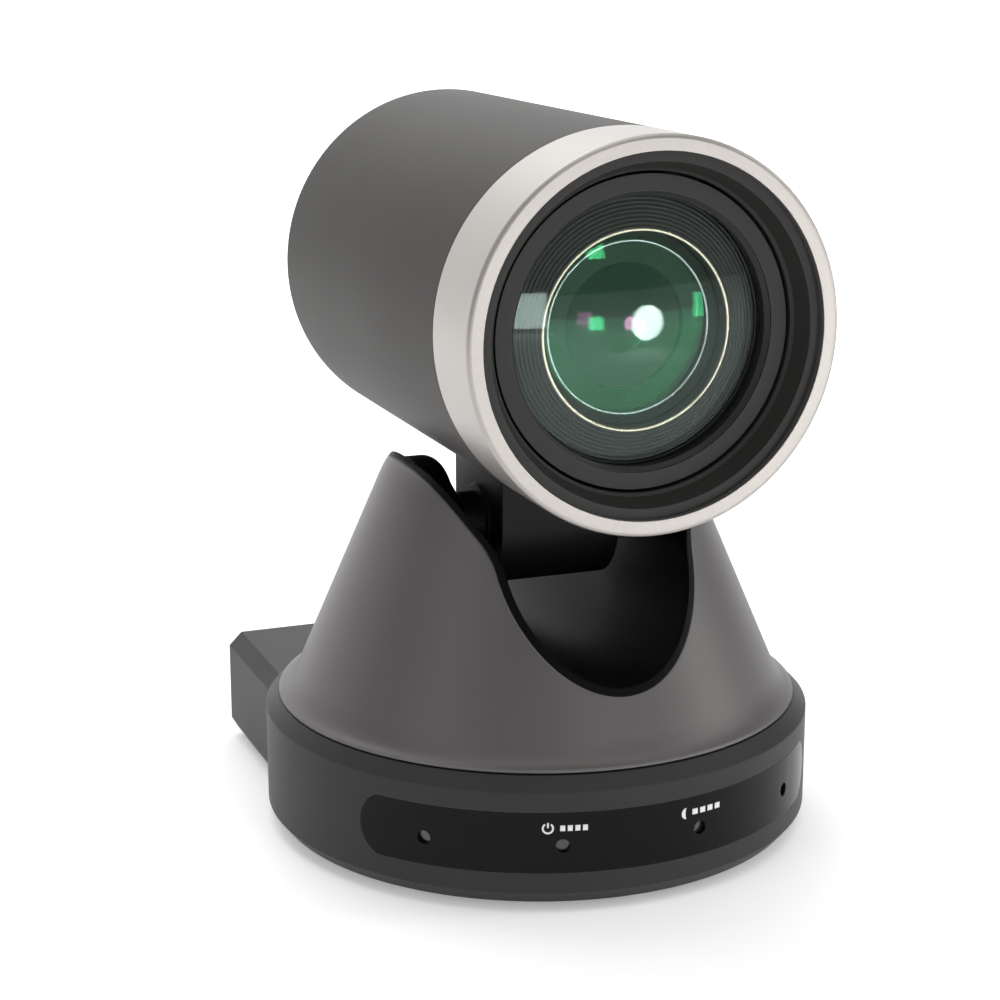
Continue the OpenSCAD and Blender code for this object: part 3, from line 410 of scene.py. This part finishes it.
def turned_metal(name, dull, bright, roughness):
    """A machined or rolled metal: fine tool lines, a little tarnish, and edges painted brighter as a painted
    highlight.
    """
    made = Finish(name)
    normal, edge = made.rounded(0.15 * mm)
    tool = made.noise(1500, 2, (1, 1, 12))
    tarnish = made.noise(220, 4)
    metal = made.mix(tarnish, shade(*dull), shade(*bright))
    # Painted highlight: the edges are mixed towards the bright metal colour.
    made.feed("Base Color", made.mix(edge * 0.6, metal, shade(*bright)))
    made.feed("Metallic", 1.0 - 0.15 * tarnish)
    made.feed("Roughness", roughness + 0.12 * tarnish)
    made.relief(tool, 0.01 * mm, normal)
    return made


brass = turned_metal("brass", (176, 142, 70), (214, 180, 104), 0.25)
dress(brass, "tripod_bush", "mount_inserts", "tilt_bushes", "pan_pinion", "tilt_pinion")
bright_screw = turned_metal("bright_screw", (150, 150, 152), (196, 196, 198), 0.28)
dress(bright_screw, "base_screws", "small_screws", "yoke_screws", "cap_screws", "neck_screws")

# ---- Circuit boards ----
# Glass-fibre boards under a green solder mask, with copper runs showing through it and black
# moulded chips soldered on top.

circuit_green = Finish("circuit_green", Coat_Weight=0.4, Coat_Roughness=0.15)
x, y, z = circuit_green.axes()
runs = ((x * 3100).wave() * (y * 2300).wave()).ramp(0.25, 0.4)
patch = circuit_green.noise(90, 1).ramp(0.45, 0.55)
mask_tone = circuit_green.mix(runs * patch, shade(16, 66, 36), shade(36, 104, 58))
fibre = circuit_green.noise(800, 3)
circuit_green.feed("Base Color", mask_tone)
circuit_green.feed("Roughness", 0.35 + 0.15 * fibre)
circuit_green.relief(runs * patch, 0.03 * mm)
dress(circuit_green, "main_board", "yoke_board", "sensor_board", "encoder_board")

# ---- Rear sockets ----
# Bought-in connectors soldered to the board and pushed through the rear panel: power, a rocker
# switch, network, video, sound, coaxial video and a round control socket.

socket_black = Finish("socket_black", IOR=1.5)
moulded, socket_edge_highlight = socket_black.rounded(0.2 * mm)
flow = socket_black.noise(700, 4)
# Painted highlight: the moulding's edges are mixed towards a lighter grey.
socket_black.feed("Base Color", socket_black.mix(socket_edge_highlight, shade(24, 24, 25), shade(52, 52, 54)))
socket_black.feed("Roughness", 0.35 + 0.15 * flow)
socket_black.relief(flow, 0.02 * mm, moulded)
dress(socket_black, "dc_socket", "audio_socket", "serial_socket", "switch_frame", "power_switch")
socket_steel = turned_metal("socket_steel", (158, 158, 160), (206, 206, 208), 0.3)
dress(socket_steel, "lan_socket", "hdmi_socket", "sdi_socket")

# ---- Bearings, gears and brackets ----
# Acetal gears and bushes, a die-cast turntable, and folded sheet-steel brackets that carry the
# motors inside the yoke.

acetal = Finish("acetal", Subsurface_Weight=0.15, Subsurface_Scale=0.002)
milled, _ = acetal.rounded(0.15 * mm)
cloud = acetal.noise(150, 3)
acetal.feed("Base Color", acetal.mix(cloud, shade(222, 220, 208), shade(236, 234, 224)))
acetal.feed("Roughness", 0.4 + 0.1 * cloud)
acetal.relief(cloud, 0.02 * mm, milled)
dress(acetal, "pan_gear", "pan_bush", "tilt_gear")
die_cast = turned_metal("die_cast", (130, 131, 134), (168, 169, 172), 0.42)
dress(die_cast, "turntable", "camera_frame")
sheet_steel = turned_metal("sheet_steel", (150, 152, 156), (188, 190, 194), 0.32)
dress(sheet_steel, "pan_retainer", "left_bracket", "right_bracket", "shaft_clips")
motor_steel = turned_metal("motor_steel", (96, 97, 100), (132, 133, 136), 0.35)
dress(motor_steel, "pan_motor", "tilt_motor", "lens_motors")
shaft_steel = turned_metal("shaft_steel", (176, 177, 180), (212, 213, 216), 0.18)
dress(shaft_steel, "tilt_shaft")

# ---- Yoke ----
# A moulded cone with a deep channel across it. The cone is sprayed in a metallic grey, and a
# black moulded liner and two black cups close the channel and the tops of the arms.

cone_paint = Finish("cone_paint", IOR=1.5, Specular_IOR_Level=0.4)
cone_normal, cone_edge_highlight = cone_paint.rounded(0.8 * mm)
flake = cone_paint.noise(6000, 2)
spray = cone_paint.noise(30, 3)
cone_tone = cone_paint.mix(spray, shade(100, 97, 97), shade(106, 103, 103))
# Painted highlight: the cone's edges, the lip of the channel among them, are mixed towards a light grey.
cone_paint.feed("Base Color", cone_paint.mix(cone_edge_highlight * 0.35, cone_tone, shade(168, 165, 165)))
cone_paint.feed("Metallic", 0.6 + 0.15 * flake)
cone_paint.feed("Roughness", 0.42 + 0.08 * spray)
cone_paint.relief(flake, 0.015 * mm, cone_normal)
dress(cone_paint, "yoke_cover")

liner_black = Finish("liner_black", Specular_IOR_Level=0.1)
liner_normal, liner_edge_highlight = liner_black.rounded(0.5 * mm)
speck = liner_black.noise(2200, 3)
# Painted highlight: the liner's edges are mixed a little lighter.
liner_black.feed("Base Color", liner_black.mix(liner_edge_highlight, shade(3, 3, 3), shade(9, 9, 9)))
liner_black.feed("Roughness", 0.42 + 0.12 * speck)
liner_black.relief(speck, 0.02 * mm, liner_normal)
dress(liner_black, "yoke_liner", "pivot_hubs")

# ---- Neck ----
# A die-cast block under the head, with a round boss on each side for the tilt shaft. It has
# the same satin paint as the inside of the yoke, a shade lighter.

neck_paint = Finish("neck_paint", Specular_IOR_Level=0.2)
neck_normal, neck_edge_highlight = neck_paint.rounded(0.5 * mm)
neck_grain = neck_paint.noise(2600, 3)
# Painted highlight: the neck's edges are mixed towards a lighter grey.
neck_paint.feed("Base Color", neck_paint.mix(neck_edge_highlight * 0.6, shade(20, 20, 21), shade(58, 56, 56)))
neck_paint.feed("Roughness", 0.42 + 0.12 * neck_grain)
neck_paint.relief(neck_grain, 0.02 * mm, neck_normal)
dress(neck_paint, "neck")

# ---- Head ----
# A drawn tube painted metallic grey, with a bright turned ring over its front edge, a black
# bezel inside the ring and a painted cap over its back.

head_paint = Finish("head_paint", IOR=1.5, Specular_IOR_Level=0.3)
head_normal, head_edge_highlight = head_paint.rounded(0.4 * mm)
head_flake = head_paint.noise(6000, 2)
head_spray = head_paint.noise(25, 3)
head_tone = head_paint.mix(head_spray, shade(48, 45, 43), shade(53, 50, 48))
# Painted highlight: the tube's edges are mixed towards a lighter grey.
head_paint.feed("Base Color", head_paint.mix(head_edge_highlight * 0.4, head_tone, shade(112, 109, 107)))
head_paint.feed("Metallic", 0.35 + 0.15 * head_flake)
head_paint.feed("Roughness", 0.48 + 0.08 * head_spray)
head_paint.relief(head_flake, 0.015 * mm, head_normal)
dress(head_paint, "head_tube", "rear_cap")

silver_ring = Finish("silver_ring")
ring_normal, ring_edge_highlight = silver_ring.rounded(0.3 * mm)
lathe = silver_ring.noise(900, 2, (1, 30, 1))
silver_tone = silver_ring.mix(lathe, shade(168, 163, 159), shade(180, 176, 172))
# Painted highlight: the ring's edges are mixed towards a near-white silver.
silver_ring.feed("Base Color", silver_ring.mix(ring_edge_highlight * 0.6, silver_tone, shade(235, 233, 230)))
silver_ring.feed("Metallic", 0.9 + 0.05 * lathe)
silver_ring.feed("Roughness", 0.34 + 0.08 * lathe)
silver_ring.relief(lathe, 0.006 * mm, ring_normal)
dress(silver_ring, "front_ring")

bezel_black = Finish("bezel_black", Specular_IOR_Level=0.3)
bezel_normal, bezel_edge_highlight = bezel_black.rounded(0.25 * mm)
bezel_grain = bezel_black.noise(3000, 3)
# Painted highlight: the bezel's edges are mixed towards a lighter grey.
bezel_black.feed("Base Color", bezel_black.mix(bezel_edge_highlight * 0.5, shade(40, 39, 38), shade(90, 88, 86)))
bezel_black.feed("Roughness", 0.4 + 0.1 * bezel_grain)
bezel_black.relief(bezel_grain, 0.015 * mm, bezel_normal)
dress(bezel_black, "front_bezel")

# ---- Lens ----
# A zoom lens in a black barrel: a large coated front glass under a retaining ring, a ribbed
# hood behind it, and two smaller coated glasses with bright edges, a cone and a stop further in.

barrel_black = Finish("barrel_black", Specular_IOR_Level=0.3)
barrel_normal, barrel_edge_highlight = barrel_black.rounded(0.2 * mm)
barrel_grain = barrel_black.noise(2500, 2)
# Painted highlight: the black parts' edges are mixed towards a lighter grey.
barrel_black.feed("Base Color", barrel_black.mix(barrel_edge_highlight * 0.6, shade(34, 34, 33), shade(104, 102, 99)))
barrel_black.feed("Roughness", 0.35 + 0.12 * barrel_grain)
barrel_black.relief(barrel_grain, 0.01 * mm, barrel_normal)
dress(barrel_black, "lens_barrel", "lens_retainer", "iris_unit", "zoom_carrier", "focus_carrier")

inner_glass = Finish("inner_glass", IOR=1.6, Coat_Weight=1.0, Coat_Roughness=0.02)
bloom = inner_glass.noise(60, 2)
inner_glass.feed("Base Color", inner_glass.mix(bloom, shade(30, 46, 40), shade(40, 36, 52)))
inner_glass.feed("Roughness", 0.05 + 0.05 * bloom)
dress(inner_glass, "second_lens", "zoom_lens", "focus_lens")

axis_z = (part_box("head_tube")[0].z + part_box("head_tube")[1].z) / 2
glass_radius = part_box("front_lens")[1].x - 0.1 * mm
glass_rise = 2.6 * mm
edge_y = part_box("front_lens")[0].y + glass_rise


def turned(name, r, y, finish, steps=256, replaced=()):
    """A closed solid turned about the lens axis from its outline, radii r at depths y: point i of
    the outline at angle a stands at r cos a across and r sin a up from the axis."""
    a = np.linspace(0, 2 * np.pi, steps, False)
    r, y = np.asarray(r)[:, None], np.asarray(y)[:, None]
    made = skin(name, np.stack([r * np.cos(a), y + 0 * a, axis_z + r * np.sin(a)], -1), True, True)
    face_outwards(made)
    made.data.materials.append(finish.material)
    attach(made, "head")
    if replaced:
        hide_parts(*replaced)


def meniscus(name, radius, edge, rise, thick, finish, replaced=()):
    """A lens of even thickness. Each face's depth falls from its edge to its middle by rise, as the
    square of the radius, which is a sphere's cap for a face this flat."""
    r = np.linspace(0, radius, 80)
    y = edge - rise * (1 - (r / radius) ** 2)
    r, y = np.append(r, r[::-1]), np.append(y, y[::-1] + thick)
    turned(name, r, y, finish, replaced=replaced)


def coated_glass(name, first, second, share):
    """Clear glass under an antireflection coating, which sends back only share of the light and
    tints it, more of it towards the rim. The coating's colour drifts a little over the face."""
    made = Finish(name, Metallic=1.0)
    drift = made.noise(60, 2)
    made.feed("Base Color", made.mix(drift, shade(*first), shade(*second)))
    made.feed("Roughness", 0.02 + 0.03 * drift)
    facing = made.node("ShaderNodeLayerWeight", sockets={"Blend": 0.5}, out="Facing")
    clear = made.node("ShaderNodeBsdfTransparent", sockets={"Color": (0.98, 1.0, 0.99, 1)})
    coat = Value(made, made.shader.outputs[0])
    amount = share * (0.85 + 0.3 * drift) + 0.3 * facing**5
    pane = made.node("ShaderNodeMixShader", sockets={0: amount, 1: clear, 2: coat})
    made.plug(made.output.inputs["Surface"], pane)
    return made


pale_coating = coated_glass("pale_coating", (190, 222, 206), (214, 226, 226), 0.03)
green_coating = coated_glass("green_coating", (48, 168, 88), (66, 176, 132), 0.12)
purple_coating = coated_glass("purple_coating", (150, 96, 176), (190, 120, 140), 0.1)
front_wall = 1.2 * mm
second_radius, second_edge, second_rise, second_wall = 18.95 * mm, 2.9 * mm, 4 * mm, 1.2 * mm
third_radius, third_edge, third_rise, third_wall = 12.2 * mm, 6 * mm, 1.6 * mm, 1.0 * mm
meniscus("front_glass", glass_radius, edge_y, glass_rise, front_wall, pale_coating, ["front_lens"])
meniscus("second_glass", second_radius, edge_y + second_edge, second_rise, second_wall, green_coating)
meniscus("third_glass", third_radius, edge_y + third_edge, third_rise, third_wall, purple_coating)

rib = np.linspace(0, 1, 121)
ledge = 19.7 * mm
hood_r = glass_radius - 0.2 * mm + (ledge - glass_radius + 0.2 * mm) * rib
hood_y = edge_y + 1.6 * mm - 1.4 * mm * rib + 0.12 * mm * np.sin(rib * 2 * np.pi * 9)
hood_r = np.append(hood_r, [ledge, 19 * mm, 19 * mm, hood_r[0]])
hood_y = np.append(hood_y, edge_y + np.array([0.8, 1.0, 4.4, 4.4]) * mm)
turned("ribbed_hood", hood_r, hood_y, barrel_black)
turned(
    "cone_baffle", np.array([18.9, 12.4, 12.4, 18.9]) * mm,
    edge_y + np.array([4.2, 6.0, 7.0, 7.0]) * mm, barrel_black,
)
turned(
    "stop_plate", np.array([12.3, 5.5, 5.5, 12.3]) * mm,
    edge_y + np.array([7.2, 7.2, 7.5, 7.5]) * mm, barrel_black,
)

gilt = turned_metal("gilt_edge", (190, 176, 150), (236, 228, 210), 0.2)
polished = turned_metal("polished_edge", (206, 210, 216), (234, 238, 244), 0.12)
lip = np.linspace(0, 2 * np.pi, 24, False)
gilt_r, gilt_y = 19.35 + 0.32 * np.cos(lip), 0.3 + 0.22 * np.sin(lip)
turned("gilt_ring", gilt_r * mm, edge_y + gilt_y * mm, gilt)
polished_r, polished_y = 16.8 + 0.35 * np.cos(lip), 4.2 + 0.35 * np.sin(lip)
turned("polished_ring", polished_r * mm, edge_y + polished_y * mm, polished)
